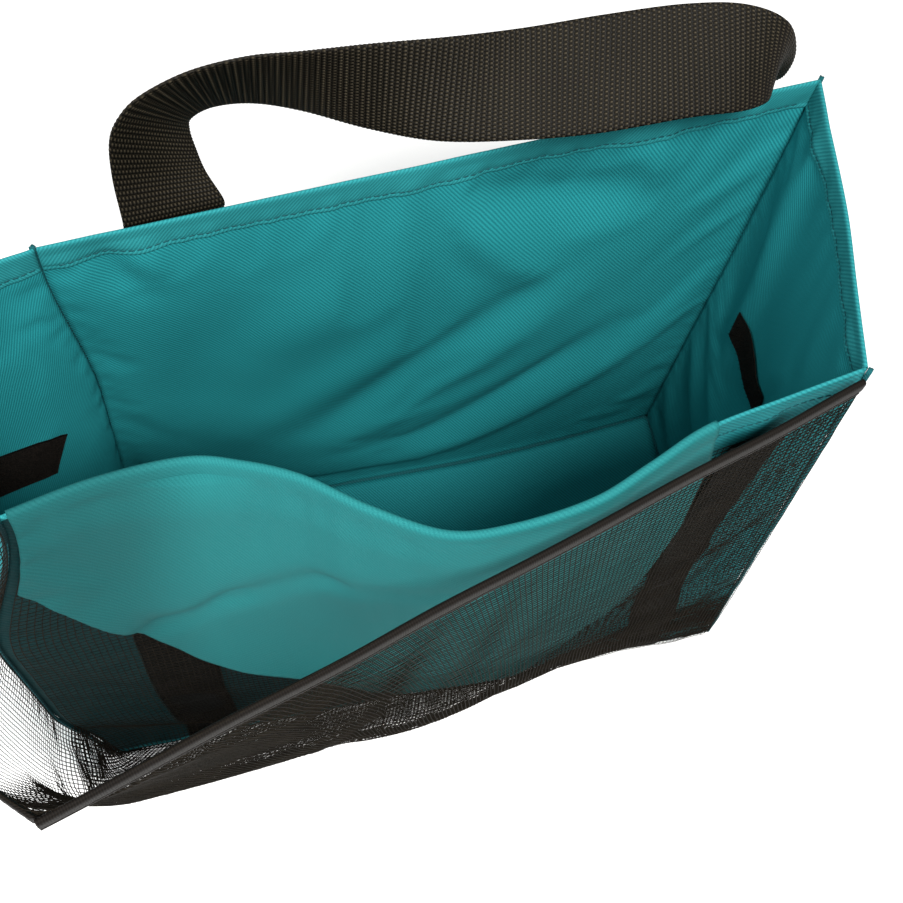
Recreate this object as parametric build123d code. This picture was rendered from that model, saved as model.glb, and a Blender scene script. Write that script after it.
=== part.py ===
from build123d import *

import math
import os

os.makedirs("parts", exist_ok=True)

# ---------------------------------------------------------------- driving dimensions (mm)
WIDTH = 318.0  # cut width of the front and back panels
DEPTH = 130.0  # cut width of the side gussets
HEIGHT = 300.0  # floor to the rim of the open mouth
CLOTH = 1.2  # coated polyester with its seam allowance
HEM_HEIGHT = 14.0  # turned-in hem round the mouth
HEM_CLOTH = 0.8
FIT_GAP = 0.15  # air between two layers that are sewn together
SEAM = 4.0  # bead of folded cloth and thread at each upright corner
BASE_SEAM = 2.4  # height of the seam round the bottom panel
HANDLE_WEB = 38.0  # handle webbing width
HANDLE_THICK = 1.8
HANDLE_GAP = 22.0  # finger gap between the rim and the lower edge of the handle
HANDLE_TAIL = 75.0  # webbing sewn down the outside of the back panel
STRAP_WEB = 25.0  # reinforcing webbing on the front panel
STRAP_THICK = 1.4
STRAP_X = 108.0  # each front strap's middle, from the bag's middle
NET = 0.8  # the outer net, simplified to a solid sheet
LINING = 0.3  # the inner net layer
LINING_BELOW = 20.0  # it stops this far below the rim
BINDING_W = 10.0  # folded tape along the pocket's mouth
BINDING_T = 2.4
PATCH_W = 46.0  # hook and loop patches on the gussets
PATCH_H = 18.0
PATCH_Z = 158.0  # their lower edge, above the floor
PATCH_T = 1.6
THREAD = 0.7

# Rim of the open mouth seen from above, at z = HEIGHT. The mouth is held open, so the
# left gusset swells outwards and the front edge waves in and out.
RIM_BACK = [(-137, 50), (-58, 56), (21, 62), (100, 68), (179, 74)]
RIM_LEFT = [(-137, 50), (-160, 42), (-175, 13), (-173, -24), (-158, -55)]
RIM_RIGHT = [(179, 74), (173, 41), (167, 8), (159, -24), (151, -57)]
RIM_FRONT = [
    (-158, -55), (-127, -48), (-96, -46), (-77, -51), (-58, -60), (-37, -76), (-13, -90),
    (11, -92), (40, -88), (63, -79), (87, -69), (118, -63), (151, -57),
]
POCKET_CORNER = (-155.0, -155.0)  # where the pocket's mouth is drawn out to
POCKET_BULGE = 34.0  # how far the net hangs out in front of the front panel, low down
MOUTH_DROP = 1.0  # the pocket's mouth starts this far below the rim
FLAP_GAP = 3.2  # the fold-down front flap hangs clear of the straps
FLAP_START = 0.1  # the flap starts just past the first point of the front rim
FLAP_END = 10.1  # and ends just past the eleventh
# Lower edge of the fold-down front flap: distance along X and height above the floor.
FLAP_EDGE = [
    (-158, 232), (-144, 200), (-123, 155), (-113, 129), (-93, 102), (-68, 80), (-47, 56),
    (-20, 32), (11, 22), (40, 26), (63, 52), (84, 130), (98, 240), (108, 300),
]


# ---------------------------------------------------------------- helpers
def base_side(count, start, end):
    """Evenly spaced points along one side of the rectangular base."""
    steps = [i / (count - 1) for i in range(count)]
    return [(start[0] + (end[0] - start[0]) * s, start[1] + (end[1] - start[1]) * s) for s in steps]


def inward_normals(points, toward=(0.0, 0.0)):
    """Unit vectors across the line of points, all on the side that faces the bag's middle."""
    normals = []
    for i in range(len(points)):
        a, b = points[max(i - 1, 0)], points[min(i + 1, len(points) - 1)]
        dx, dy = b[0] - a[0], b[1] - a[1]
        length = math.hypot(dx, dy)
        nx, ny = -dy / length, dx / length
        mid = points[len(points) // 2]
        if nx * (toward[0] - mid[0]) + ny * (toward[1] - mid[1]) < 0:
            nx, ny = -nx, -ny
        normals.append((nx, ny))
    return normals


class Side:
    """One upright side of the bag, ruled between its line on the floor and its line on the rim.

    u counts along the points of the two lines, and inset is measured from the outer face inwards."""

    def __init__(self, base, rim, end_gap):
        self.base = trimmed(base, end_gap)
        self.rim = trimmed(rim, end_gap)
        self.normals = inward_normals(rim)
        self.last = len(rim) - 1

    def point(self, u, z, inset):
        low = min(int(u), self.last - 1)
        part, share = u - low, z / HEIGHT

        def mixed(pairs):
            (ax, ay), (bx, by) = pairs[low], pairs[low + 1]
            return ax + (bx - ax) * part, ay + (by - ay) * part

        (bx, by), (rx, ry), (nx, ny) = mixed(self.base), mixed(self.rim), mixed(self.normals)
        return (bx + (rx - bx) * share + nx * inset, by + (ry - by) * share + ny * inset, z)

    def section(self, z, outer, inner, u0, u1):
        between = [u for u in range(self.last + 1) if u0 < u < u1]
        stops = [u0, *between, u1]
        outside = [self.point(u, z, outer) for u in stops]
        inside = [self.point(u, z, inner) for u in reversed(stops)]
        return make_face(Polyline(*outside, *inside, close=True))

    def wall(self, z0, z1, outer, inner, u0=0.0, u1=None):
        u1 = self.last if u1 is None else u1
        return loft([self.section(z, outer, inner, u0, u1) for z in (z0, z1)], ruled=True)

    def u_at(self, x, z):
        """Where along a front or back side the outer face has this x."""
        low, high = 0.0, float(self.last)
        for _ in range(40):
            middle = (low + high) / 2
            low, high = (middle, high) if self.point(middle, z, 0)[0] < x else (low, middle)
        return (low + high) / 2

    def web(self, x, width, z0, z1, gap, thick):
        """A flat strap on the outside of a front or back side."""
        middle = (z0 + z1) / 2
        u0, u1 = self.u_at(x - width / 2, middle), self.u_at(x + width / 2, middle)
        return self.wall(z0, z1, -gap, -gap - thick, u0, u1)


def trimmed(line, gap):
    """The same line with its two end points moved in, to leave room for the corner seams."""

    def moved(a, b):
        share = gap / math.dist(a, b)
        return (a[0] + (b[0] - a[0]) * share, a[1] + (b[1] - a[1]) * share)

    return [moved(line[0], line[1]), *line[1:-1], moved(line[-1], line[-2])]


def corner(x_sign, y_sign):
    return (x_sign * WIDTH / 2, y_sign * DEPTH / 2)


def save(shape, name):
    shape.label = name
    export_step(shape, f"parts/{name}.step")


def plate(points):
    """Convex solid through the given corners."""
    return ConvexPolyhedron([Vector(*p) for p in points])


SIDE_LINES = {
    "back": (RIM_BACK, corner(-1, 1), corner(1, 1)),
    "front": (RIM_FRONT, corner(-1, -1), corner(1, -1)),
    "left": (RIM_LEFT, corner(-1, 1), corner(-1, -1)),
    "right": (RIM_RIGHT, corner(1, 1), corner(1, -1)),
}
STITCH_EDGE = 2.0  # from a hem's lower edge to its row of thread
STITCH_END = 0.1  # share of a span left free at each end of a row of thread
PANEL_GAP = SEAM / 2 + 0.8  # the panels stop short of the corner seams
LAYER_GAP = SEAM / 2 + 3.2  # what lies inside the panels stops shorter still


def sides(end_gap):
    return {
        key: Side(base_side(len(rim), start, end), rim, end_gap)
        for key, (rim, start, end) in SIDE_LINES.items()
    }


PANELS, LAYERS = sides(PANEL_GAP), sides(LAYER_GAP)
BACK, FRONT = PANELS["back"], PANELS["front"]


# ---------------------------------------------------------------- body of the bag
def build_panels():
    names = {"back": "back_panel", "front": "front_panel", "left": "left_gusset", "right": "right_gusset"}
    inner = CLOTH + FIT_GAP
    for key, name in names.items():
        save(PANELS[key].wall(BASE_SEAM, HEIGHT, 0, CLOTH), name)
        save(LAYERS[key].wall(HEIGHT - HEM_HEIGHT, HEIGHT, inner, inner + HEM_CLOTH), f"hem_{key}")


def build_bottom():
    inset = BASE_SEAM + FIT_GAP
    panel = Pos(0, 0, CLOTH / 2) * Box(WIDTH - 2 * inset, DEPTH - 2 * inset, CLOTH)
    save(panel, "bottom_panel")
    high = BASE_SEAM - FIT_GAP
    outer = Box(WIDTH + 1, DEPTH + 1, high)
    inner = Box(WIDTH - 2 * BASE_SEAM, DEPTH - 2 * BASE_SEAM, high)
    save(Pos(0, 0, high / 2) * (outer - inner), "bottom_seam")


def build_corner_seams():
    corners = {
        "seam_back_left": (corner(-1, 1), RIM_BACK[0]),
        "seam_back_right": (corner(1, 1), RIM_BACK[-1]),
        "seam_front_left": (corner(-1, -1), RIM_FRONT[0]),
        "seam_front_right": (corner(1, -1), RIM_FRONT[-1]),
    }
    for name, (low, high) in corners.items():
        foot = Pos(low[0], low[1], BASE_SEAM) * Circle(SEAM / 2)
        top = Pos(high[0], high[1], HEIGHT) * Circle(SEAM / 2)
        save(loft([foot, top], ruled=True), name)


def build_hem_stitching():
    """One row of thread along the lower edge of each hem, on the inside."""
    depth = CLOTH + HEM_CLOTH + 2 * FIT_GAP
    low = HEIGHT - HEM_HEIGHT + STITCH_EDGE
    runs = []
    for side in LAYERS.values():
        ends = (STITCH_END, side.last - STITCH_END)
        runs.append(side.wall(low, low + THREAD, depth, depth + THREAD, *ends))
    save(Compound(children=runs), "hem_stitching")


# ---------------------------------------------------------------- webbing
STRAP_GAP = 1.0
END_GAP = 1.6  # the turned hem lies between the panel and the handle's sewn end
END_BELOW = 3.0  # the sewn ends stop this far below the rim, where the free loop starts
STRAP_BELOW = 4.0  # and the front straps this far
FOOT_OUT = 3.0  # the loop stands this far outside the back panel's face
HANDLE_X = (-88.0, 129.0)  # middle of each handle end at the rim
AXIS_Z = HEIGHT + 3  # the handle bends just above the hem
HANDLE_CORNER = 44.0  # outer radius of the handle's bends
HANDLE_INNER_CORNER = 7.0


def build_front_straps():
    for name, x in (("front_strap_left", -STRAP_X), ("front_strap_right", STRAP_X)):
        save(FRONT.web(x, STRAP_WEB, BASE_SEAM + 1, HEIGHT - STRAP_BELOW, STRAP_GAP, STRAP_THICK), name)


def handle_line():
    """Where the handle leaves the back panel: the middle of its foot and its angle to X."""
    feet = [BACK.point(BACK.u_at(x, HEIGHT), HEIGHT, -FOOT_OUT) for x in HANDLE_X]
    turn = math.degrees(math.atan2(feet[1][1] - feet[0][1], feet[1][0] - feet[0][0]))
    return [(a + b) / 2 for a, b in zip(*feet)], turn


def rounded_slab(half_width, low, high, radius):
    slab = Pos(0, (low + high) / 2) * Rectangle(2 * half_width, high - low)
    return fillet(slab.vertices().sort_by(Axis.Y)[-2:], radius)


def build_handle():
    inner_top = HEIGHT + HANDLE_GAP
    half = (HANDLE_X[1] - HANDLE_X[0]) / 2
    outside = rounded_slab(half + HANDLE_WEB / 2, AXIS_Z, inner_top + HANDLE_WEB, HANDLE_CORNER)
    inside = rounded_slab(half - HANDLE_WEB / 2, AXIS_Z, inner_top, HANDLE_INNER_CORNER)
    arch = extrude(Plane.XZ * (outside - inside), HANDLE_THICK / 2, both=True)
    middle, turn = handle_line()
    save(Pos(middle[0], middle[1], 0) * Rot(0, 0, turn) * arch, "handle_webbing")
    for name, x in (("handle_end_left", HANDLE_X[0]), ("handle_end_right", HANDLE_X[1])):
        end = BACK.web(x, HANDLE_WEB, HEIGHT - HANDLE_TAIL, HEIGHT - END_BELOW, END_GAP, HANDLE_THICK)
        save(end, name)


def build_handle_stitching():
    """A crossed box of thread through each handle end, one small solid for each stitch."""
    stitch, pitch, half_box, count = 3.2, 5.6, 14.0, 6
    slant_wide, slant_high = 1.6, 2.4
    low = HEIGHT - HANDLE_TAIL + 6
    depth = END_GAP + HANDLE_THICK + FIT_GAP
    stitches = []
    for middle in HANDLE_X:
        for k in range(count):
            along = -half_box + pitch * k
            across = [(along, low, stitch, THREAD), (along, low + 2 * half_box, stitch, THREAD)]
            upright = [(side, low + along + half_box, THREAD, stitch) for side in (-half_box, half_box)]
            slanted = [(along + 1.2, low + along + half_box + 1.6, slant_wide, slant_high)]
            for x, z, wide, high in across + upright + slanted:
                u0, u1 = (BACK.u_at(middle + edge, z) for edge in (x, x + wide))
                stitches.append(BACK.wall(z, z + high, -depth, -depth - THREAD, u0, u1))
    save(Compound(children=stitches), "handle_stitching")


# ---------------------------------------------------------------- front flap and net pocket
FOLD_GAP = 0.4  # air between the rim and the flap's fold over it
BEYOND = 20.0  # the outline that cuts the flap to shape reaches this far past it


def build_flap():
    """Cloth folded over the front rim, which hangs down outside the front panel."""
    top = HEIGHT + FOLD_GAP
    outer = -FLAP_GAP - CLOTH
    span = (FLAP_START, FLAP_END)
    hanging = FRONT.wall(min(z for _, z in FLAP_EDGE) - BEYOND, top + CLOTH, outer, -FLAP_GAP, *span)
    over = FRONT.wall(top, top + CLOTH, outer, CLOTH, *span)
    left, right = FLAP_EDGE[0][0] - BEYOND, FLAP_EDGE[-1][0] + BEYOND
    outline = [(left, FLAP_EDGE[0][1]), *FLAP_EDGE, (right, HEIGHT), (right, 0), (left, 0)]
    cutter = extrude(Plane.XZ * make_face(Polyline(*outline, close=True)), DEPTH, both=True)
    save(hanging - cutter + over, "front_flap")


NET_BASE_Y = -DEPTH / 2 - 7.5
NET_TOP = HEIGHT - MOUTH_DROP
MOUTH_RIGHT = (147.5, -62.0)  # ends of the pocket's mouth at the two front seams
MOUTH_LEFT = (-161.0, -64.0)
BEHIND_BINDING = 2.6  # the net's inner face passes this far outside the mouth tape's middle
NET_LEFT = -156.0  # where the net turns back to the left seam, at the floor
NET_FOLD = 2.0  # and how far it passes the mouth's corner there
NET_TURN = 5.0  # from that fold to the net's edge along the seam
NET_X = [147.0, 110.0, 60.0, 10.0, -40.0, -90.0, -130.0]
# Each level of the net: its height, how far it has come from the base line (0) to the line of
# the mouth (1), and the share of POCKET_BULGE that it hangs out by.
NET_LEVELS = [(3.0, 0.0, 0.0), (45.0, 0.05, 1.0), (130.0, 0.45, 0.55), (235.0, 1.0, 0.0), (NET_TOP, 1.0, 0.0)]


def mouth_share(x):
    return (MOUTH_RIGHT[0] - x) / (MOUTH_RIGHT[0] - POCKET_CORNER[0])


def mouth_y(x):
    """The pocket's mouth is a taut straight line from the right seam to the drawn-out corner."""
    return MOUTH_RIGHT[1] + (POCKET_CORNER[1] - MOUTH_RIGHT[1]) * mouth_share(x)


def net_outline(z, to_mouth, bulge, out):
    """The net's inner or outer line at one height, from the right seam round to the left seam."""

    def depth_at(x):
        hang = POCKET_BULGE * bulge * mouth_share(x) ** 0.6
        return NET_BASE_Y + (mouth_y(x) - BEHIND_BINDING - NET_BASE_Y) * to_mouth - hang - out

    left = NET_LEFT + (POCKET_CORNER[0] - NET_FOLD - NET_LEFT) * to_mouth - NET_FOLD - out
    seam_y = NET_BASE_Y + 1.0 + (MOUTH_LEFT[1] - NET_BASE_Y) * to_mouth
    return [(x, depth_at(x), z) for x in NET_X] + [(left, depth_at(left), z), (left - NET_TURN, seam_y, z)]


def build_net():
    """The outer net: a loose pouch sewn along its base and both side edges."""
    faces = []
    for z, to_mouth, bulge in NET_LEVELS:
        inner = net_outline(z, to_mouth, bulge, 0.0)
        outer = net_outline(z, to_mouth, bulge, NET)
        faces.append(make_face(Polyline(*inner, *reversed(outer), close=True)))
    net = loft(faces[:2], ruled=True)
    for pair in zip(faces[1:], faces[2:]):
        net += loft(list(pair), ruled=True)
    save(net, "mesh_pocket")


def build_net_lining():
    """The inner net layer, which lies flat on the front panel over the two straps."""
    depth = STRAP_GAP + STRAP_THICK + FIT_GAP
    save(FRONT.wall(BASE_SEAM + 1, HEIGHT - LINING_BELOW, -depth - LINING, -depth), "mesh_lining")


def build_binding():
    """Folded tape on the pocket's mouth: the taut front run and the run back to the left seam."""

    def run(start, end):
        half = BINDING_T / 2 / math.dist(start, end)
        across = ((start[1] - end[1]) * half, (end[0] - start[0]) * half)
        section = [(x + sign * across[0], y + sign * across[1]) for x, y in (start, end) for sign in (-1, 1)]
        return plate([(x, y, z) for x, y in section for z in (NET_TOP - BINDING_W, NET_TOP)])

    past_corner = (POCKET_CORNER[0] - 1.0, POCKET_CORNER[1] + BINDING_T / 2 + 0.4)
    save(run(MOUTH_RIGHT, POCKET_CORNER), "pocket_binding_front")
    save(run(past_corner, MOUTH_LEFT), "pocket_binding_left")


# ---------------------------------------------------------------- hook and loop closure
def build_patches():
    depth = CLOTH + FIT_GAP
    for name, key in (("hook_patch", "left"), ("loop_patch", "right")):
        side = LAYERS[key]
        share = PATCH_W / math.dist(side.rim[1], side.rim[2])
        save(side.wall(PATCH_Z, PATCH_Z + PATCH_H, depth, depth + PATCH_T, 1, 1 + share), name)


build_panels()
build_bottom()
build_corner_seams()
build_hem_stitching()
build_front_straps()
build_handle()
build_handle_stitching()
build_flap()
build_net()
build_net_lining()
build_binding()
build_patches()
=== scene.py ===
"""Looks of the fruit picking bag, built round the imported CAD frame.

Lengths are in millimetres until a mesh is made. A grid of points has its rows up the cloth and its columns
along it.
"""

import math
import random

import bpy
import numpy as np
from mathutils import Matrix, Vector


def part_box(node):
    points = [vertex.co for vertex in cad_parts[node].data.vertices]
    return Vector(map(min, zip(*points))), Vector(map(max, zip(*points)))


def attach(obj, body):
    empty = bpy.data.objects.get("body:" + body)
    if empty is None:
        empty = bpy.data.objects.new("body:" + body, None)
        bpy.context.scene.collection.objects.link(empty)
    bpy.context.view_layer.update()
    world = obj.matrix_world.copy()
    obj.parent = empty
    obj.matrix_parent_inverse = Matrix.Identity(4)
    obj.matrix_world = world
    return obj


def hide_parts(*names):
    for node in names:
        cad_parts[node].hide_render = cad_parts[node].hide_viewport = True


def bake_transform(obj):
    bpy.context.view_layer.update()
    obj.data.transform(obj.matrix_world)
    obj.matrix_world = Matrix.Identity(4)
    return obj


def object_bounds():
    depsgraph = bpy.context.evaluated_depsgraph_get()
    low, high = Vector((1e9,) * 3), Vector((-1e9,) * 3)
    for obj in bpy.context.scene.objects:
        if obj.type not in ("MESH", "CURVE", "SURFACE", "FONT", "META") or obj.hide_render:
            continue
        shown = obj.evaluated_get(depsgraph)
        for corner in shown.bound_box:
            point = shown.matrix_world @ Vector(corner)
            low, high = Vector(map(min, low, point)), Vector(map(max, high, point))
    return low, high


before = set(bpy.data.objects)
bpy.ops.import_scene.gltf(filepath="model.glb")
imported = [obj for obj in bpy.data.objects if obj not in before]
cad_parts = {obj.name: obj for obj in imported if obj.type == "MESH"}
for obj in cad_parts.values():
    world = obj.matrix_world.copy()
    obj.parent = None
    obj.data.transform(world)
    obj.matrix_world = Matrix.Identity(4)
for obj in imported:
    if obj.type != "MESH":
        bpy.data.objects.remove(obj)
CAD_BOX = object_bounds()
MM = 0.001
random.seed(7)


# ---------------------------------------------------------------- sizes, as in the part
def node_box(node):
    """Lowest and highest corner of a CAD node, in mm."""
    low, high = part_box(node)
    return np.array(low) / MM, np.array(high) / MM


PANEL_LOW, PANEL_HIGH = node_box("front_panel")
SEAM_LOW, SEAM_HIGH = node_box("bottom_seam")
HEIGHT = PANEL_HIGH[2]
WIDTH = SEAM_HIGH[0] - SEAM_LOW[0] - 1.0
DEPTH = SEAM_HIGH[1] - SEAM_LOW[1] - 1.0
BASE_TOP = PANEL_LOW[2]
CLOTH = 0.9  # visible thickness of the coated cloth
NET_THREAD = 0.46
NET_CELL = (3.4, 2.1)  # height and width of a net cell
NET_HEM = 62.0  # height of the net's folded lower hem

# Rim of the open mouth seen from above, the same points as in the part.
RIM = {
    "back": [(-137, 50), (-58, 56), (21, 62), (100, 68), (179, 74)],
    "left": [(-137, 50), (-160, 42), (-175, 13), (-173, -24), (-158, -55)],
    "right": [(179, 74), (173, 41), (167, 8), (159, -24), (151, -57)],
    "front": [
        (-158, -55), (-127, -48), (-96, -46), (-77, -51), (-58, -60), (-37, -76), (-13, -90),
        (11, -92), (40, -88), (63, -79), (87, -69), (118, -63), (151, -57),
    ],
}
# Lower edge of the flap, x and height. Its left end hangs higher than in the part, as skewed() draws it out.
FLAP_EDGE = [
    (-158, 251), (-154, 244), (-143, 224), (-128, 194), (-118, 174), (-109, 152), (-102, 130), (-86, 104),
    (-66, 80), (-47, 56), (-20, 32), (11, 22), (40, 26), (63, 52), (84, 130), (98, 240), (108, 296),
]
# Plan of the pouch's mouth: its right end, the corner that a hand draws out, and its left end at the seam.
MOUTH_RIGHT, MOUTH_CORNER, MOUTH_LEFT = (147.5, -62.0), (-155.0, -155.0), (-161.0, -60.0)
MOUTH_BOW = 28.0  # the slack left run of the mouth swings out this far
SLACK_STOP, SLACK_REACH = 186.0, 7.0  # cloth further left than this is drawn in, by no more than the reach
MOUTH_TOP = node_box("pocket_binding_front")[1][2]
BINDING_W = 10.0
PATCH_LENGTH, PATCH_HEIGHT = 46.0, 22.0
PATCH_SLANT, PATCH_LEAN = 0.95, 0.4  # the crumpled left gusset turns its patch's long and short sides
PATCH_SHIFT = (0.0, 7.0, 16.0)  # and moves it by this
STRAP_X, STRAP_WEB, STRAP_T = 108.0, 25.0, 1.3
STRAP_LEAN = 12.0  # the right strap's top lies this far to the right of its foot
HANDLE_X, HANDLE_WEB, HANDLE_TAIL, HANDLE_T = (-88.0, 134.0), 38.0, 75.0, 1.8


# ---------------------------------------------------------------- curves and grids
def spline(points, t):
    """Points of a smooth curve through the given points; t counts along them."""
    points = np.asarray(points, float)
    t = np.asarray(t, float)
    last = len(points) - 1
    k = np.clip(np.floor(t).astype(int), 0, last - 1)
    f = (t - k)[..., None]
    p1, p2 = points[k], points[k + 1]
    p0 = np.where((k > 0)[..., None], points[np.maximum(k - 1, 0)], 2 * p1 - p2)
    p3 = np.where((k < last - 1)[..., None], points[np.minimum(k + 2, last)], 2 * p2 - p1)
    square, cube = 2 * p0 - 5 * p1 + 4 * p2 - p3, 3 * p1 - 3 * p2 + p3 - p0
    return 0.5 * (2 * p1 + (p2 - p0) * f + square * f**2 + cube * f**3)


def along(points, count):
    """The smooth curve through the points, at evenly spaced lengths."""
    fine = spline(points, np.linspace(0, len(points) - 1, 40 * len(points)))
    return evenly(fine, count)


def lengths(line):
    """How far along a line each of its points is."""
    return np.concatenate([[0], np.cumsum(np.linalg.norm(np.diff(line, axis=0), axis=1))])


def evenly(line, count, run=None):
    """The same line with count points evenly spaced along it, or along the run of another line beside it."""
    line = np.asarray(line, float)
    run = lengths(line) if run is None else run
    want = np.linspace(0, run[-1], count)
    return np.stack([np.interp(want, run, line[:, i]) for i in range(line.shape[1])], axis=1)


def sampled(grid, rows, cols):
    """A grid of values read between its points; rows and cols run from 0 to 1."""
    high, wide = grid.shape[0] - 1, grid.shape[1] - 1
    r, c = np.clip(rows, 0, 1) * high, np.clip(cols, 0, 1) * wide
    i, j = np.minimum(r.astype(int), high - 1), np.minimum(c.astype(int), wide - 1)
    a, b = (r - i)[..., None], (c - j)[..., None]
    top = grid[i, j] * (1 - b) + grid[i, j + 1] * b
    return top * (1 - a) + (grid[i + 1, j] * (1 - b) + grid[i + 1, j + 1] * b) * a


def eased(value, start, end):
    """0 before the start, 1 after the end, and a smooth step between."""
    t = np.clip((value - start) / (end - start), 0, 1)
    return t * t * (3 - 2 * t)


def smoothed(values, times):
    """The same values with the inner ones averaged with their neighbours."""
    values = np.array(values)
    for _ in range(times):
        values[1:-1] = (values[:-2] + 2 * values[1:-1] + values[2:]) / 4
    return values


def off_crease(place, z, start, end):
    """How far along a crease points are (0 to 1 between its ends) and how far off it."""
    (a0, z0), (a1, z1) = start, end
    da, dz = a1 - a0, z1 - z0
    t = ((place - a0) * da + (z - z0) * dz) / (da * da + dz * dz)
    held = np.clip(t, 0, 1)
    return t, np.hypot(place - a0 - held * da, z - z0 - held * dz)


# ---------------------------------------------------------------- the four walls
class Wall:
    """One upright side, ruled from its line on the floor to its line on the rim, with soft creases."""

    def __init__(self, key, start, end, flat, creases=()):
        self.rim = np.array(RIM[key], float)
        self.start, self.end = np.array(start), np.array(end)
        self.flat = flat  # the wall's cut width
        self.axis = 0 if key in ("front", "back") else 1
        self.creases = creases
        self.shift = None

    def rim_at(self, u):
        """Plan of the rim at u, 0 to 1 along it."""
        return spline(self.rim, u * (len(self.rim) - 1))

    def outward(self, u):
        """Level directions out of the bag, square to the rim."""
        step = 0.004
        a, b = self.rim_at(np.clip(u - step, 0, 1)), self.rim_at(np.clip(u + step, 0, 1))
        along_rim = (b - a) / np.linalg.norm(b - a, axis=-1, keepdims=True)
        normal = np.stack([along_rim[..., 1], -along_rim[..., 0]], axis=-1)
        middle = (self.start + self.end) / 2
        return normal * np.sign((normal @ middle))[..., None]

    def relief(self, place, z):
        """How far the creases push the cloth outwards. A crease is deepest at its middle."""
        total = np.zeros_like(z)
        for start, end, width, depth in self.creases:
            t, off = off_crease(place, z, start, end)
            swell = 0.35 + 0.65 * np.sin(np.pi * np.clip(t, 0.02, 0.98))
            total += depth * np.exp(-((off / width) ** 2)) * swell
        return total

    def free(self, u, z):
        """0 where the cloth is held at a seam, the base or the hem, and 1 away from them."""
        sides = np.clip(np.sin(np.pi * np.clip(u, 0, 1)) * 4, 0, 1)
        return sides * np.clip(z / 25, 0, 1) * np.clip((HEIGHT + 3 - z) / 14, 0, 1)

    def surface(self, u, z, out=0.0):
        """Points in mm at u (0 to 1 along the wall), z and out, which is the distance outwards."""
        u, z, out = np.broadcast_arrays(np.asarray(u, float), np.asarray(z, float), np.asarray(out, float))
        share = z / HEIGHT
        floor = self.start + (self.end - self.start) * u[..., None]
        place = floor + (self.rim_at(u) - floor) * share[..., None]
        out = out + self.relief(place[..., self.axis], z) * self.free(u, z)
        place = place + self.outward(u) * out[..., None]
        points = np.concatenate([place, z[..., None]], axis=-1)
        if self.shift is not None:
            points = points + sampled(self.shift, share, u)
        return points

    def u_at(self, place, z):
        """Where along the wall its x (front, back) or y (sides) is the given one."""
        u = np.linspace(0, 1, 400)
        values = self.surface(u, np.full_like(u, z))[:, self.axis]
        order = np.argsort(values)
        return np.interp(place, values[order], u[order])


def corner(x_sign, y_sign):
    """Plan of a corner of the base."""
    return (x_sign * WIDTH / 2, y_sign * DEPTH / 2)


# Soft folds in each wall: two ends (along the wall and above the floor), half width and depth outwards.
WALLS = {
    "back": Wall("back", corner(-1, 1), corner(1, 1), WIDTH, [
        ((8, 290), (64, 205), 13, -4.5),
        ((26, 272), (112, 250), 20, 7.5),
        ((105, 290), (140, 236), 12, -3.0),
        ((76, 200), (-40, 88), 13, 4.2),
        ((92, 176), (-24, 64), 12, -3.4),
        ((120, 130), (0, 40), 12, 3.4),
        ((140, 100), (10, 16), 12, -3.0),
        ((20, 180), (-76, 100), 16, -2.6),
        ((-60, 240), (-120, 120), 26, 3.0),
        ((-117, 292), (-108, 258), 10, 4.0),
        ((-104, 290), (-98, 262), 9, -2.0),
        ((20, 240), (-70, 180), 24, -3.0),
    ]),
    "front": Wall("front", corner(-1, -1), corner(1, -1), WIDTH, [
        ((-70, 250), (-20, 180), 18, 1.5),
        ((60, 230), (20, 130), 16, -1.5),
    ]),
    "left": Wall("left", corner(-1, 1), corner(-1, -1), DEPTH, [
        ((15, 60), (15, 250), 26, 17.0),
        ((44, 280), (52, 180), 10, -2.0),
    ]),
    "right": Wall("right", corner(1, 1), corner(1, -1), DEPTH, [
        ((50, 296), (36, 130), 9, -4.0),
        ((-20, 220), (20, 100), 14, 3.0),
    ]),
}


# ---------------------------------------------------------------- meshes
def grid_faces(rows, cols, wrap=False):
    """Four-sided faces over a grid of points; wrap joins its last column to its first."""
    width = cols if wrap else cols - 1
    return [
        (r * cols + c, r * cols + (c + 1) % cols, (r + 1) * cols + (c + 1) % cols, (r + 1) * cols + c)
        for r in range(rows - 1)
        for c in range(width)
    ]


def tube_faces(rows, ring):
    """Faces of a closed tube of rows rings, with a face over each end."""
    faces = grid_faces(rows, ring, wrap=True)
    return faces + [tuple(range(ring - 1, -1, -1)), tuple(range((rows - 1) * ring, rows * ring))]


SKEW_FROM, SKEW_SPAN = 40.0, 119.0  # the skew starts this far from the middle and is full at the seams


def skewed(points):
    """The bag stands a little askew: its front left seam is drawn out and its back left seam in."""
    x, y, z = np.asarray(points, float).reshape(-1, 3).T
    left = np.clip((-SKEW_FROM - x) / SKEW_SPAN, 0, 1.2) ** 1.5
    front = eased(-y, -45, 55)
    hold = (0.57 + 0.43 * eased(z, 10, 90)) * (1 - eased(z, 175, 300))
    right = np.clip((x - SKEW_FROM) / SKEW_SPAN, 0, 1.1) ** 1.5
    low_right = right * eased(y, -30, 60) * (1 - eased(z, 0, 220))
    x = x + left * hold * (12 - 42 * front) + 5 * low_right
    beyond = np.maximum(-SLACK_STOP - x, 0)
    x = np.where(beyond > 0, -SLACK_STOP - SLACK_REACH * (1 - np.exp(-beyond / SLACK_REACH)), x)
    return np.stack([x, y + 9 * low_right, z], axis=1)


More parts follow.
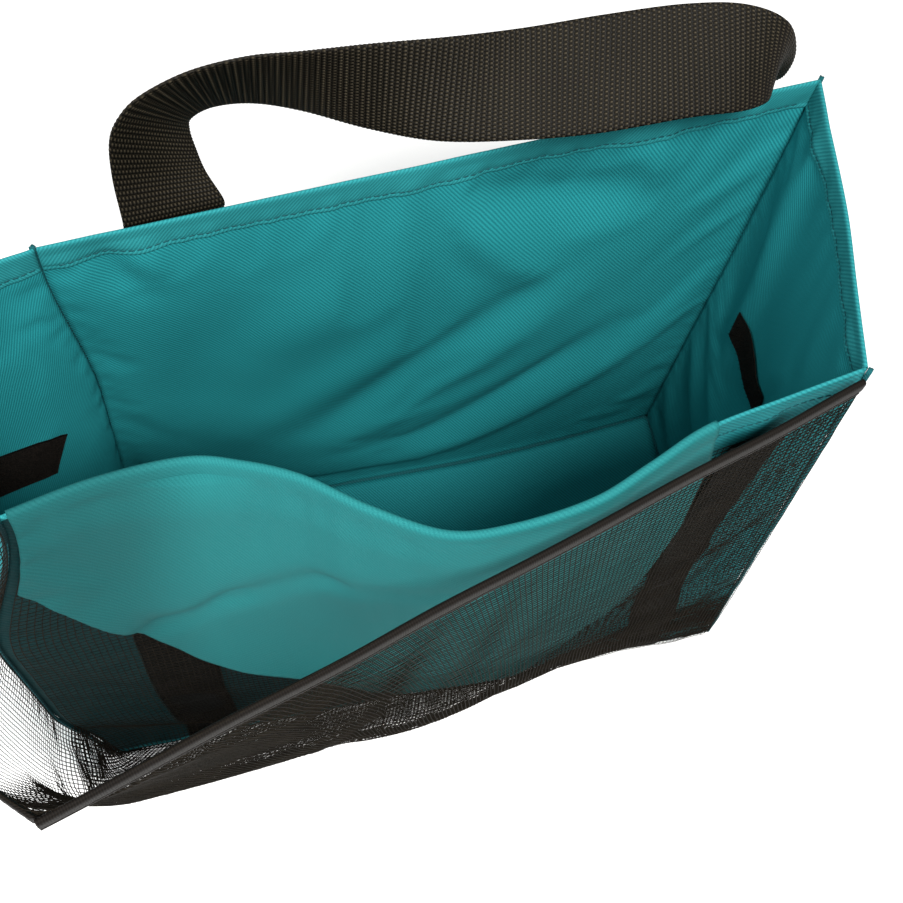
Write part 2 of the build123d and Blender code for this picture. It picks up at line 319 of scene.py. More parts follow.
def new_piece(name, points, faces, material, weave=None, body="bag"):
    """A mesh object from points in mm. weave gives each point its place on the flat cloth, in mm."""
    mesh = bpy.data.meshes.new(name)
    points = skewed(points)
    mesh.from_pydata((points * MM).tolist(), [], faces)
    mesh.validate()
    mesh.polygons.foreach_set("use_smooth", [True] * len(mesh.polygons))
    flat = np.array(points)
    if weave is not None:
        flat[:, :2] = np.asarray(weave, float).reshape(-1, 2)
        flat[:, 2] = 0
    attribute = mesh.attributes.new("weave", "FLOAT_VECTOR", "POINT")
    attribute.data.foreach_set("vector", (flat * MM).ravel())
    mesh.materials.append(material)
    piece = bpy.data.objects.new(name, mesh)
    bpy.context.scene.collection.objects.link(piece)
    if body:
        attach(piece, body)
    return piece


def grid_piece(name, points, weave, material, thick=0.0, body="bag"):
    """A sheet from a grid of points, with its thickness added evenly on both sides."""
    rows, cols = points.shape[:2]
    piece = new_piece(name, points, grid_faces(rows, cols), material, weave, body)
    if thick:
        solid = piece.modifiers.new("thickness", "SOLIDIFY")
        solid.thickness = thick * MM
        solid.offset = 0
        solid.use_even_offset = True
    return piece


def merged(parts):
    """One list of points, faces and weave places from several (points, faces, weave)."""
    points, faces, weave, count = [], [], [], 0
    for some_points, some_faces, some_weave in parts:
        points.append(np.asarray(some_points).reshape(-1, 3))
        weave.append(np.asarray(some_weave).reshape(-1, 2))
        faces += [tuple(i + count for i in face) for face in some_faces]
        count += len(points[-1])
    return np.concatenate(points), faces, np.concatenate(weave)


def unit(vectors):
    """The same directions with a length of 1."""
    return vectors / np.maximum(np.linalg.norm(vectors, axis=-1, keepdims=True), 1e-9)


def thread(line, normals, width, height):
    """A thread along a line: a tube of diamond section, flatter along the normals."""
    line = np.asarray(line, float)
    tangent = unit(np.gradient(line, axis=0))
    side = unit(np.cross(tangent, normals))
    up = unit(np.cross(side, tangent))
    ring = [side * width / 2, up * height / 2, -side * width / 2, -up * height / 2]
    points = np.stack([line + r for r in ring], axis=1)
    return points, grid_faces(len(line), 4, wrap=True), np.zeros((len(line) * 4, 2))


STITCH_PROFILE = [(-0.5, 0.25), (-0.35, 0.85), (0.0, 1.0), (0.35, 0.85), (0.5, 0.25)]  # place along it, girth
STITCH_SIDES = 6


def stitches(line, normals, length, pitch, width=0.7, height=0.6):
    """Separate stitches along a line: small rounded grains with gaps between them."""
    line = np.asarray(line, float)
    total = float(np.linalg.norm(np.diff(line, axis=0), axis=1).sum())
    count = max(int(total / pitch), 1)
    ends = evenly(line, 2 * count + 1)
    centres = ends[1::2]
    normal_at = evenly(normals, 2 * count + 1)[1::2] if len(normals) > 1 else normals
    heading = unit(ends[2::2] - ends[:-2:2])
    up = unit(np.broadcast_to(normal_at, centres.shape))
    side = unit(np.cross(heading, up))
    faces = tube_faces(len(STITCH_PROFILE), STITCH_SIDES)
    parts = []
    for c, t, n, s in zip(centres, heading, up, side):
        rings = []
        for place, fat in STITCH_PROFILE:
            middle = c + t * place * length
            for k in range(STITCH_SIDES):
                angle = 2 * math.pi * k / STITCH_SIDES
                spoke = s * math.cos(angle) * width / 2 + n * math.sin(angle) * height / 2
                rings.append(middle + fat * spoke)
        parts.append((rings, faces, np.zeros((len(rings), 2))))
    return merged(parts)


def places_along(run, across):
    """Weave places of a strip's grid: each row is so far along it, and each column so far across it."""
    return np.stack(np.broadcast_arrays(run[:, None], across[None, :]), axis=-1)


def slab(edge_a, edge_b, thick, cols, relief):
    """A strip of webbing between two edge lines: closed, with rounded edges and a checkered relief."""
    rows = len(edge_a)
    across = np.linspace(0, 1, cols)
    middle = edge_a[:, None, :] * (1 - across[None, :, None]) + edge_b[:, None, :] * across[None, :, None]
    tangent = unit(np.gradient(middle, axis=0))
    side = unit(edge_b - edge_a)[:, None, :]
    normal = unit(np.cross(tangent, np.broadcast_to(side, tangent.shape)))
    round_off = np.sqrt(np.clip(1 - np.abs(2 * across - 1) ** 14, 0.12, 1))[None, :, None]
    checker = ((np.indices((rows, cols)).sum(axis=0) % 2) * 2.0 - 1.0)[..., None] * relief
    width = float(np.linalg.norm(edge_b - edge_a, axis=1).mean())
    weave = places_along(lengths(middle.mean(axis=1)), across * width)
    top = middle + normal * (thick / 2 * round_off + checker)
    bottom = middle - normal * (thick / 2 * round_off + checker)
    loop = np.concatenate([top, bottom[:, ::-1]], axis=1)
    places = np.concatenate([weave, weave[:, ::-1]], axis=1)
    return loop, tube_faces(rows, loop.shape[1]), places


# ---------------------------------------------------------------- materials
class Shader:
    """Short names for building a node material."""

    def __init__(self, name, roughness, specular):
        self.material = bpy.data.materials.new(name)
        self.material.use_nodes = True
        self.tree = self.material.node_tree
        self.shader = self.tree.nodes["Principled BSDF"]
        self.shader.inputs["Roughness"].default_value = roughness
        self.shader.inputs["Specular IOR Level"].default_value = specular
        self.place = self.node("ShaderNodeAttribute")
        self.place.attribute_name = "weave"

    def node(self, kind, **values):
        made = self.tree.nodes.new(kind)
        for key, value in values.items():
            setattr(made, key, value)
        return made

    def put(self, value, socket):
        """Links an output to the socket, or sets the socket to a number or colour."""
        if isinstance(value, bpy.types.NodeSocket):
            self.tree.links.new(value, socket)
        else:
            socket.default_value = value

    def math(self, operation, a, b=0.0, c=0.0):
        made = self.node("ShaderNodeMath", operation=operation)
        for value, socket in zip((a, b, c), made.inputs):
            self.put(value, socket)
        return made.outputs[0]

    def total(self, *shares):
        """Sum of (value, weight) pairs."""
        summed = None
        for value, weight in shares:
            part = self.math("MULTIPLY", value, weight)
            summed = part if summed is None else self.math("ADD", summed, part)
        return summed

    def axes(self):
        split = self.node("ShaderNodeSeparateXYZ")
        self.put(self.place.outputs["Vector"], split.inputs[0])
        return split.outputs

    def noise(self, scale, detail=3.0, where=None, stretch=None):
        made = self.node("ShaderNodeTexNoise")
        made.inputs["Scale"].default_value = scale
        made.inputs["Detail"].default_value = detail
        source = where or self.place.outputs["Vector"]
        if stretch:
            mapping = self.node("ShaderNodeMapping")
            mapping.inputs["Scale"].default_value = stretch
            self.put(source, mapping.inputs["Vector"])
            source = mapping.outputs[0]
        self.put(source, made.inputs["Vector"])
        return made.outputs[0]

    def ramp(self, value, stops):
        made = self.node("ShaderNodeValToRGB")
        ramp = made.color_ramp
        while len(ramp.elements) < len(stops):
            ramp.elements.new(0.5)
        for element, (place, colour) in zip(ramp.elements, stops):
            element.position = place
            element.color = (*colour, 1)
        self.put(value, made.inputs[0])
        return made.outputs[0]

    def wave(self, value, pitch):
        """0 to 1 and back once every pitch millimetres."""
        turned = self.math("MULTIPLY", value, 2 * math.pi / (pitch * MM))
        return self.math("MULTIPLY_ADD", self.math("SINE", turned), 0.5, 0.5)

    def darkened(self, colour, value, start, end, share):
        """The colour times share where the value is below start, in mm, easing to the whole colour at end."""
        ease = self.node("ShaderNodeMapRange", interpolation_type="SMOOTHSTEP")
        for name, setting in (
            ("Value", value), ("From Min", start * MM), ("From Max", end * MM), ("To Min", share),
            ("To Max", 1.0),
        ):
            self.put(setting, ease.inputs[name])
        mixed = self.node("ShaderNodeMix", data_type="RGBA", blend_type="MULTIPLY")
        for setting, index in ((1.0, 0), (colour, 6), (ease.outputs[0], 7)):
            self.put(setting, mixed.inputs[index])
        return mixed.outputs[2]

    def colour(self, value):
        self.put(value, self.shader.inputs["Base Color"])

    def rough(self, value, low, high):
        """Roughness from low to high as the value goes from 0.2 to 0.8."""
        self.put(self.ramp(value, [(0.2, (low,) * 3), (0.8, (high,) * 3)]), self.shader.inputs["Roughness"])

    def bump(self, height, distance, strength=1.0):
        made = self.node("ShaderNodeBump")
        made.inputs["Distance"].default_value = distance * MM
        made.inputs["Strength"].default_value = strength
        self.put(height, made.inputs["Height"])
        self.put(made.outputs[0], self.shader.inputs["Normal"])


def twill(name, dark, light, relief=0.15, rib_share=0.36, painted_shade=None):
    """Coated polyester with a fine diagonal rib, slightly uneven in colour and gloss.

    The last argument, (start, end, share), paints shade: the colour is darkened towards the cloth's left end,
    where less light falls on it.
    """
    s = Shader(name, 0.8, 0.1)
    x, y, _ = s.axes()
    wobble = s.math("MULTIPLY", s.noise(28), 0.0016)
    diagonal = s.math("ADD", s.math("ADD", x, s.math("MULTIPLY", y, 0.72)), wobble)
    rib = s.wave(diagonal, 1.7)
    grain = s.wave(s.math("SUBTRACT", x, s.math("MULTIPLY", y, 1.3)), 0.85)
    weave = s.total((rib, 0.7), (grain, 0.3))
    fuzz = s.noise(2600, 2)
    patch = s.noise(9, 4)
    tone = s.total((weave, rib_share), (fuzz, 0.8 - rib_share), (patch, 0.2))
    colour = s.ramp(tone, [(0.25, dark), (0.78, light)])
    # painted shade: the colour is darker towards the cloth's left end
    s.colour(s.darkened(colour, x, *painted_shade) if painted_shade else colour)
    s.rough(patch, 0.68, 0.85)
    s.bump(s.math("ADD", weave, s.math("MULTIPLY", fuzz, 0.5)), relief, 0.8)
    return s.material


def woven_webbing(name, dark, light, specular=0.1, along_pitch=2.0, across_pitch=1.4):
    """Polypropylene webbing: rows of short grains, each row half a step from the next."""
    s = Shader(name, 0.75, specular)
    x, y, _ = s.axes()
    row = s.wave(x, along_pitch)
    row_number = s.math("ROUND", s.math("DIVIDE", x, along_pitch * MM))
    grain = s.wave(s.math("ADD", y, s.math("MULTIPLY", row_number, across_pitch / 2 * MM)), across_pitch)
    weave = s.math("MULTIPLY", s.math("POWER", grain, 0.8), s.math("POWER", row, 0.6))
    fibre = s.noise(900, stretch=(4, 1, 1))
    tone = s.total((weave, 0.62), (fibre, 0.25), (s.noise(30), 0.13))
    middle = tuple(0.75 * a + 0.25 * b for a, b in zip(dark, light))
    s.colour(s.ramp(tone, [(0.2, dark), (0.66, middle), (0.9, light)]))
    s.rough(fibre, 0.42, 0.62)
    s.bump(s.math("ADD", weave, s.math("MULTIPLY", fibre, 0.25)), 0.35, 0.8)
    return s.material


def ribbed_tape(name, dark, light, pitch=0.9):
    """Folded binding tape with fine cross ribs."""
    s = Shader(name, 0.7, 0.08)
    rib = s.wave(s.axes()[0], pitch)
    fibre = s.noise(1500, stretch=(1, 4, 1))
    tone = s.total((rib, 0.35), (fibre, 0.4), (s.noise(22), 0.25))
    s.colour(s.ramp(tone, [(0.25, dark), (0.85, light)]))
    s.rough(fibre, 0.48, 0.68)
    s.bump(s.math("ADD", rib, fibre), 0.12, 0.7)
    return s.material


def yarn(name, dark, light, roughness=0.6, specular=0.12):
    """Twisted thread or net yarn: uneven fibre tone along each thread."""
    s = Shader(name, roughness, specular)
    where = s.node("ShaderNodeTexCoord").outputs["Object"]
    fibre = s.noise(1400, where=where)
    tone = s.total((fibre, 0.7), (s.noise(60, 2, where=where), 0.3))
    s.colour(s.ramp(tone, [(0.3, dark), (0.75, light)]))
    s.bump(fibre, 0.08, 0.6)
    return s.material


def hook_tape(name, dark, light):
    """The fuzzy black ground of hook-and-loop tape."""
    s = Shader(name, 0.85, 0.05)
    fuzz = s.noise(1800, 4, where=s.node("ShaderNodeTexCoord").outputs["Object"])
    s.colour(s.ramp(fuzz, [(0.35, dark), (0.8, light)]))
    s.bump(fuzz, 0.4, 0.9)
    return s.material


def floor_paint(name):
    """Matt off-white paint with slow, faint patches."""
    s = Shader(name, 0.9, 0.2)
    patch = s.noise(3, where=s.node("ShaderNodeTexCoord").outputs["Object"])
    s.colour(s.ramp(patch, [(0.0, (0.88,) * 3), (1.0, (0.93,) * 3)]))
    return s.material


TEAL = twill("teal_cloth", (0.004, 0.105, 0.122), (0.026, 0.340, 0.368))
# Front panel: a darker copy of the teal cloth, painted shade from the flap and the pouch in front of it,
# deepest at its left end.
PANEL_TEAL = twill("teal_cloth_front", (0.004, 0.105, 0.120), (0.022, 0.250, 0.270), painted_shade=(110, 200, 0.13))
# Flap: a darker copy of the teal cloth, painted shade, darker still towards its left end.
FLAP_TEAL = twill("flap_cloth", (0.005, 0.100, 0.108), (0.024, 0.208, 0.211), 0.08, 0.16, painted_shade=(30, 66, 0.6))
HEM_TEAL = twill("hem_cloth", (0.006, 0.120, 0.135), (0.030, 0.275, 0.292))
# Front left seam tape: a near-black copy of the seam teal, painted shade from the flap and the pouch over it.
DARK_SEAM = twill("seam_tape_painted_shade", (0.001, 0.011, 0.013), (0.004, 0.030, 0.034))
SEAM_TEAL = twill("seam_tape", (0.003, 0.050, 0.058), (0.014, 0.130, 0.145))
WEBBING = woven_webbing("webbing", (0.0012, 0.0010, 0.0006), (0.075, 0.062, 0.040))
# Front straps: a darker copy of the webbing, painted shade under the flap and the net.
COVERED_WEBBING = woven_webbing("webbing_painted_shade", (0.0008, 0.0008, 0.0006), (0.014, 0.014, 0.011), 0.02)
BINDING = ribbed_tape("binding", (0.0018, 0.0014, 0.0011), (0.011, 0.0085, 0.0065))
NET_YARN = yarn("net", (0.002, 0.0017, 0.0012), (0.020, 0.016, 0.011), 0.75, 0.05)
TEAL_THREAD = yarn("thread", (0.002, 0.030, 0.036), (0.010, 0.095, 0.108))
BLACK_THREAD = yarn("black_thread", (0.006, 0.005, 0.005), (0.040, 0.034, 0.030))
HOOKS = hook_tape("hook_tape", (0.002, 0.002, 0.002), (0.026, 0.020, 0.016))


# ---------------------------------------------------------------- camera, lights and floor
CAMERA_PLACE = (-0.067, -0.240, 0.707)  # in metres
CAMERA_TURN = (-19.0, 64.9, 7.1)  # yaw, height above the horizon and roll, in degrees


def make_camera():
    """A camera above the front left, looking steeply down into the bag."""
    yaw, elevation, roll = (math.radians(angle) for angle in CAMERA_TURN)
    back = Vector((
        math.sin(yaw) * math.cos(elevation), -math.cos(yaw) * math.cos(elevation), math.sin(elevation),
    ))
    right = (-back).cross(Vector((0, 0, 1))).normalized()
    up = right.cross(-back)
    turned_right = right * math.cos(roll) + up * math.sin(roll)
    turned_up = up * math.cos(roll) - right * math.sin(roll)
    data = bpy.data.cameras.new("camera")
    data.sensor_width, data.lens = 36.0, 51.83
    data.clip_start, data.clip_end = 0.01, 20.0
    camera = bpy.data.objects.new("camera", data)
    camera.matrix_world = Matrix.Translation(CAMERA_PLACE) @ Matrix(
        (turned_right, turned_up, back)
    ).transposed().to_4x4()
    bpy.context.scene.collection.objects.link(camera)
    bpy.context.scene.camera = camera


def area_light(name, place, target, size, power, colour=(1, 1, 1)):
    """A round area light at a place, in metres, turned to its target."""
    data = bpy.data.lights.new(name, "AREA")
    data.shape, data.size, data.energy, data.color = "DISK", size, power, colour
    light = bpy.data.objects.new(name, data)
    light.location = place
    light.rotation_mode = "QUATERNION"
    light.rotation_quaternion = (Vector(target) - Vector(place)).to_track_quat("-Z", "Y")
    bpy.context.scene.collection.objects.link(light)


FLOOR_SIZE = 6.0  # half its width, in metres


def make_stage():
    """White surroundings, a warm key light from the front, a wide fill from the left and a pale floor."""
    world = bpy.data.worlds.new("studio")
    world.use_nodes = True
    background = world.node_tree.nodes["Background"]
    background.inputs["Color"].default_value = (1.0, 1.0, 1.0, 1)
    background.inputs["Strength"].default_value = 0.58
    bpy.context.scene.world = world
    bpy.context.scene.view_settings.view_transform = "Standard"
    middle = (0.0, 0.0, 0.2)
    area_light("key", (0.04, -0.66, 1.5), middle, 0.35, 34, (1.0, 0.98, 0.95))
    area_light("fill", (-1.1, -0.5, 0.9), middle, 1.2, 9)
    mesh = bpy.data.meshes.new("floor")
    level = CAD_BOX[0].z - 0.0005
    corners = [(x * FLOOR_SIZE, y * FLOOR_SIZE, level) for x, y in ((-1, -1), (1, -1), (1, 1), (-1, 1))]
    mesh.from_pydata(corners, [], [(0, 1, 2, 3)])
    mesh.materials.append(floor_paint("floor"))
    floor = bpy.data.objects.new("floor", mesh)
    bpy.context.scene.collection.objects.link(floor)


make_camera()
make_stage()


# ---------------------------------------------------------------- cloth that settles into soft folds
def settle(grids, frames=18):
    """How sheets that are cut slightly too large move as they find their own folds.

    Each grid is (points, pinned, growth, cap): the share it grows by, and the furthest that a point may move,
    in mm.
    """
    made = []
    for points, pinned, growth, _ in grids:
        rows, cols = points.shape[:2]
        mesh = bpy.data.meshes.new("settling")
        mesh.from_pydata((points.reshape(-1, 3) * MM).tolist(), [], grid_faces(rows, cols))
        sheet = bpy.data.objects.new("settling", mesh)
        bpy.context.scene.collection.objects.link(sheet)
        group = sheet.vertex_groups.new(name="pinned")
        for index in np.flatnonzero(pinned.ravel()):
            group.add([int(index)], 1.0, "REPLACE")
        cloth = sheet.modifiers.new("cloth", "CLOTH")
        settings = cloth.settings
        settings.quality = 6
        settings.mass = 0.15
        settings.tension_stiffness = settings.compression_stiffness = 20
        settings.shear_stiffness = 8
        settings.bending_stiffness = 1.2
        settings.shrink_min = -growth
        settings.vertex_group_mass = "pinned"
        settings.effector_weights.gravity = 0.25
        cloth.collision_settings.use_collision = False
        cloth.point_cache.frame_start, cloth.point_cache.frame_end = 1, frames
        made.append(sheet)
    for step in range(1, frames + 1):
        bpy.context.scene.frame_set(step)
    settled = []
    graph = bpy.context.evaluated_depsgraph_get()
    for sheet, (points, pinned, _, cap) in zip(made, grids):
        shape = sheet.evaluated_get(graph).data
        co = np.zeros(len(shape.vertices) * 3)
        shape.vertices.foreach_get("co", co)
        move = co.reshape(points.shape) / MM - points
        size = np.linalg.norm(move, axis=-1, keepdims=True)
        move = move * np.minimum(1, cap / np.maximum(size, 1e-6))
        settled.append(move)
    for sheet in made:
        bpy.data.objects.remove(sheet)
    bpy.context.scene.frame_set(1)
    return settled


def edge_mask(rows, cols, top):
    """True on the grid's border and on its top rows, which stay where they are."""
    mask = np.zeros((rows, cols), bool)
    mask[0] = mask[rows - top:] = True
    mask[:, 0] = mask[:, cols - 1] = True
    return mask


# ---------------------------------------------------------------- the net pouch's surface
# Height, share of the way out from the foot to the mouth, and share of the bulge.
NET_LEVELS = [
    (3.0, 0.0, 0.0), (45.0, 0.08, 0.85), (130.0, 0.36, 0.45), (225.0, 0.72, 0.2),
    (MOUTH_TOP - BINDING_W, 1.0, 0.0), (MOUTH_TOP, 1.0, 0.0),
]
NET_BULGE = 28.0  # the slack net hangs out this far near its foot


def net_row(z, count):
    """The pouch's line at one height, from the right seam to the corner and back to the left seam."""
    heights, nears, hangs = zip(*NET_LEVELS)
    to_mouth, hang = np.interp(z, heights, nears), np.interp(z, heights, hangs)
    (right_x, ry), (cx, cy) = MOUTH_RIGHT, MOUTH_CORNER
    rx = WIDTH / 2 + (right_x - WIDTH / 2) * z / MOUTH_TOP
    x = np.linspace(rx, cx, 50)
    share = (rx - x) / (rx - cx)
    mouth = ry + (cy - ry) * share
    foot = -DEPTH / 2 - 1.2 - (1.4 + 4.5 * eased(share, 0.0, 0.3)) * eased(z, 1.0, 14.0)
    y = foot + (mouth - foot) * to_mouth - NET_BULGE * hang * eased(share, 0.15, 0.62)
    seam_y = -DEPTH / 2 - 2.2 + 9.0 * z / HEIGHT
    front = np.stack([x, y], axis=1)
    back = np.linspace((x[-1], y[-1]), (-WIDTH / 2 + 0.8, seam_y), 16)[1:]
    back[:, 0] -= MOUTH_BOW * to_mouth * np.sin(np.pi * np.linspace(0, 1, 16)[1:])
    line = evenly(smoothed(evenly(np.concatenate([front, back]), 160), 10), count)
    return np.concatenate([line, np.full((count, 1), z)], axis=1)


def net_surface(rows, cols):
    """The pouch as a grid of points, smooth from its foot up to the part under the tape."""
    levels = np.concatenate([np.linspace(1.6, 235.0, rows - 12), np.linspace(235.0, MOUTH_TOP, 13)[1:]])
    surface = np.stack([net_row(z, cols) for z in levels])
    return np.concatenate([smoothed(surface[:-8], 14)[:-1], surface[-9:]])


WALL_ROWS, WALL_COLS = 62, 66
NET_ROWS, NET_COLS = 60, 84
# Share by which each cloth is cut too large, and the furthest that it may move, in mm.
WALL_SLACK, RIGHT_SLACK, NET_SLACK = (0.007, 2.0), (0.007, 3.5), (0.006, 3.0)


def settle_all():
    """Runs the cloth of the four walls and of the pouch together, and keeps each wall's movement."""
    z = np.linspace(0, HEIGHT, WALL_ROWS)[:, None]
    keys, grids = list(WALLS), []
    for key in keys:
        cols = WALL_COLS if WALLS[key].flat == WIDTH else WALL_COLS // 2
        points = WALLS[key].surface(np.linspace(0, 1, cols)[None, :], z)
        slack = RIGHT_SLACK if key == "right" else WALL_SLACK
        grids.append((points, edge_mask(WALL_ROWS, cols, 2), *slack))
    pouch = net_surface(NET_ROWS, NET_COLS)
    grids.append((pouch, edge_mask(NET_ROWS, NET_COLS, 6), *NET_SLACK))
    moves = settle(grids)
    for key, move in zip(keys, moves):
        WALLS[key].shift = move
    loose = 0.1 + 0.9 * eased(np.linspace(0, 1, NET_COLS), 0.15, 0.6)
    return pouch + moves[-1] * loose[None, :, None]


POUCH = settle_all()


# ---------------------------------------------------------------- cloth pieces
def wall_grid(wall, rows, cols, z, out, u0=0.0, u1=1.0):
    """Grid of points on a wall; z and out are one value for each row."""
    u = np.linspace(u0, u1, cols)[None, :]
    points = wall.surface(np.broadcast_to(u, (rows, cols)), np.asarray(z)[:, None], np.asarray(out)[:, None])
    run = np.concatenate([[0], np.cumsum(np.hypot(np.diff(z), np.diff(out)))])
    weave = np.stack(np.broadcast_arrays(u * wall.flat, (run + z[0])[:, None]), axis=-1)
    return points, weave


def make_panels():
    """The four walls, each just short of its seams, the base and the rim."""
    rows, pieces = 110, {}
    names = {"back": "back_panel", "front": "front_panel", "left": "left_gusset", "right": "right_gusset"}
    for key, name in names.items():
        wall = WALLS[key]
        cols = 120 if wall.flat == WIDTH else 54
        z = np.linspace(BASE_TOP - 1.4, HEIGHT - 0.9, rows)
        end = 0.6 / wall.flat
        points, weave = wall_grid(wall, rows, cols, z, np.full(rows, -CLOTH / 2), end, 1 - end)
        # the front panel takes the teal with painted shade
        cloth = PANEL_TEAL if key == "front" else TEAL
        piece = grid_piece(f"cloth_{name}", points, weave, cloth, CLOTH)
        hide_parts(name)
        pieces[key] = piece
    return pieces


# Section of a hem, from the rim's outer side over the top and down the inside: out and below the rim.
HEM_SECTION = [
    (-0.05, -1.4), (-0.10, -0.5), (-0.45, 0.15), (-1.05, 0.25), (-1.60, -0.25), (-1.85, -1.6),
    (-1.90, -5.0), (-1.95, -9.0), (-1.80, -11.0), (-1.55, -11.7), (-1.80, -12.4), (-1.95, -13.4),
    (-1.75, -14.1), (-1.35, -14.3),
]
HEM_SQUEEZE = 0.72  # the section's thickness is pressed to this share
HEM_STITCHES = 11.7  # below the rim


def make_hems():
    """The turned hem of each wall, puckered at its row of stitches."""
    section = along(HEM_SECTION, 34)
    hems = {}
    for key, wall in WALLS.items():
        cols = 150 if wall.flat == WIDTH else 64
        end = 0.8 / wall.flat
        z = HEIGHT + section[:, 1]
        points, weave = wall_grid(wall, len(section), cols, z, HEM_SQUEEZE * section[:, 0], end, 1 - end)
        hem = grid_piece(f"turned_hem_{key}", points, weave, HEM_TEAL, 0.5)
        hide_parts(f"hem_{key}")
        hems[key] = hem
    return hems


def wall_line(wall, u, z, out):
    """A line on a wall and its outward directions."""
    line = wall.surface(u, z, out)
    normals = np.concatenate([wall.outward(np.asarray(u, float)), np.zeros((len(line), 1))], axis=1)
    return line, normals


def make_hem_stitches():
    """A row of stitches on both faces of each hem."""
    rows = []
    for wall in WALLS.values():
        u = np.linspace(0.02, 0.98, 120)
        for out in (-1.45, 0.15):
            line, normals = wall_line(wall, u, np.full_like(u, HEIGHT - HEM_STITCHES), out)
            rows.append(stitches(line, normals, 2.5, 3.3, 0.75, 0.6))
    points, faces, _ = merged(rows)
    piece = new_piece("stitches_hem", points, faces, TEAL_THREAD)
    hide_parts("hem_stitching")


# Section of a folded seam allowance: out from the corner and across the seam.
SEAM_SECTION = [
    (-0.4, -0.9), (0.6, -1.0), (1.3, -0.95), (1.6, -0.35), (1.3, 0.2), (1.6, 0.6), (1.3, 1.1), (0.5, 1.0),
    (-0.4, 0.9),
]


def make_seams():
    """The upright seams: a folded allowance on the outside, and a row of thread down each side."""
    count, around = 110, 20
    faces = tube_faces(count, around)
    wobble = 0.25 * np.sin(np.linspace(0, 26, count)) + 0.15 * np.sin(np.linspace(2, 71, count))
    wobble = wobble[:, None]
    # The front left seam takes the seam tape with painted shade.
    for name, x_sign, y_sign, key, at, cloth in (
        ("back_left", -1, 1, "back", 0, SEAM_TEAL), ("back_right", 1, 1, "back", -1, SEAM_TEAL),
        ("front_left", -1, -1, "front", 0, DARK_SEAM), ("front_right", 1, -1, "front", -1, SEAM_TEAL),
    ):
        low = np.array([*corner(x_sign, y_sign), BASE_TOP])
        high = np.array([*RIM[key][at], HEIGHT + 0.2])
        line = np.linspace(low, high, count)
        outward = unit(np.array([x_sign, y_sign, 0.0]))
        side = np.array([-outward[1], outward[0], 0.0])
        points = np.stack([
            line + outward * (a + wobble * 0.6) + side * (b + wobble * 0.4)
            for a, b in along(SEAM_SECTION, around)
        ], axis=1)
        places = places_along(line[:, 2], np.linspace(0, 8, around))
        piece = new_piece(f"folded_seam_{name}", points, faces, cloth, places)
        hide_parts(f"seam_{name}")
        sewn = line[6:-6]
        inner = stitches(sewn - outward * 0.9, np.array([-outward]), 2.4, 3.0, 0.7, 0.6)
        outer = stitches(sewn + outward * 0.7 + side * 1.1, np.array([side]), 2.4, 3.0, 0.6, 0.4)
        points, thread_faces, _ = merged([inner, outer])
        new_piece(f"seam_thread_{name}", points, thread_faces, TEAL_THREAD)


def rounded_rectangle(half_x, half_y, radius, count):
    """Evenly spaced points round a rectangle with rounded corners."""
    line = []
    for x_sign, y_sign, start in ((1, 1, 0), (-1, 1, 90), (-1, -1, 180), (1, -1, 270)):
        middle_x, middle_y = x_sign * (half_x - radius), y_sign * (half_y - radius)
        for angle in np.radians(np.linspace(start, start + 90, 9)):
            line.append((middle_x + radius * math.cos(angle), middle_y + radius * math.sin(angle)))
    line.append(line[0])
    return evenly(line, count + 1)[:-1]


# Section of the rolled seam round the base: outwards from the base's edge and above the floor.
BASE_SECTION = [(-1.6, 0.3), (-0.4, 0.05), (0.7, 0.5), (0.9, 1.3), (0.4, 2.2), (-0.8, 2.3), (-1.8, 1.7)]
BASE_COUNT, BASE_RING, BASE_PITCH = 360, 14, 2.4  # points round the base and round the seam, and their pitch


def make_bottom_seam():
    """The rolled seam round the base, joined to its own start."""
    line = rounded_rectangle(WIDTH / 2 + 0.2, DEPTH / 2 + 0.2, 6.0, BASE_COUNT)
    heading = unit(line - np.roll(line, 1, axis=0))
    outward = np.stack([heading[:, 1], -heading[:, 0]], axis=1)
    ring = np.stack([
        np.concatenate([line + outward * a, np.full((BASE_COUNT, 1), b)], axis=1)
        for a, b in along(BASE_SECTION, BASE_RING)
    ], axis=1)
    count = BASE_COUNT * BASE_RING
    faces = [tuple(i % count for i in face) for face in grid_faces(BASE_COUNT + 1, BASE_RING, wrap=True)]
    weave = places_along(np.arange(BASE_COUNT) * BASE_PITCH, np.linspace(0, 7, BASE_RING))
    seam = new_piece("rolled_bottom_seam", ring, faces, SEAM_TEAL, weave)
    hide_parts("bottom_seam")


def make_bottom():
    """The bottom panel, slightly wavy on the floor."""
    x = np.linspace(-WIDTH / 2 + 1.5, WIDTH / 2 - 1.5, 90)[None, :]
    y = np.linspace(-DEPTH / 2 + 1.5, DEPTH / 2 - 1.5, 40)[:, None]
    z = 1.4 + 0.5 * np.sin(x / 41) * np.cos(y / 23 + 1)
    points = np.stack(np.broadcast_arrays(x, y, np.clip(z, 0.6, 2.0)), axis=-1)
    floor = grid_piece("cloth_bottom_panel", points, points[..., :2], TEAL, CLOTH)
    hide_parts("bottom_panel")
    return floor


# Section of the flap's fold over the rim, from inside the bag to the outside: out and above the rim.
FLAP_FOLD = [
    (-2.0, -6.0), (-1.95, -1.5), (-1.6, 0.4), (-0.9, 0.95), (0.0, 0.9), (0.6, 0.1), (1.0, -1.6), (1.5, -6.0),
]
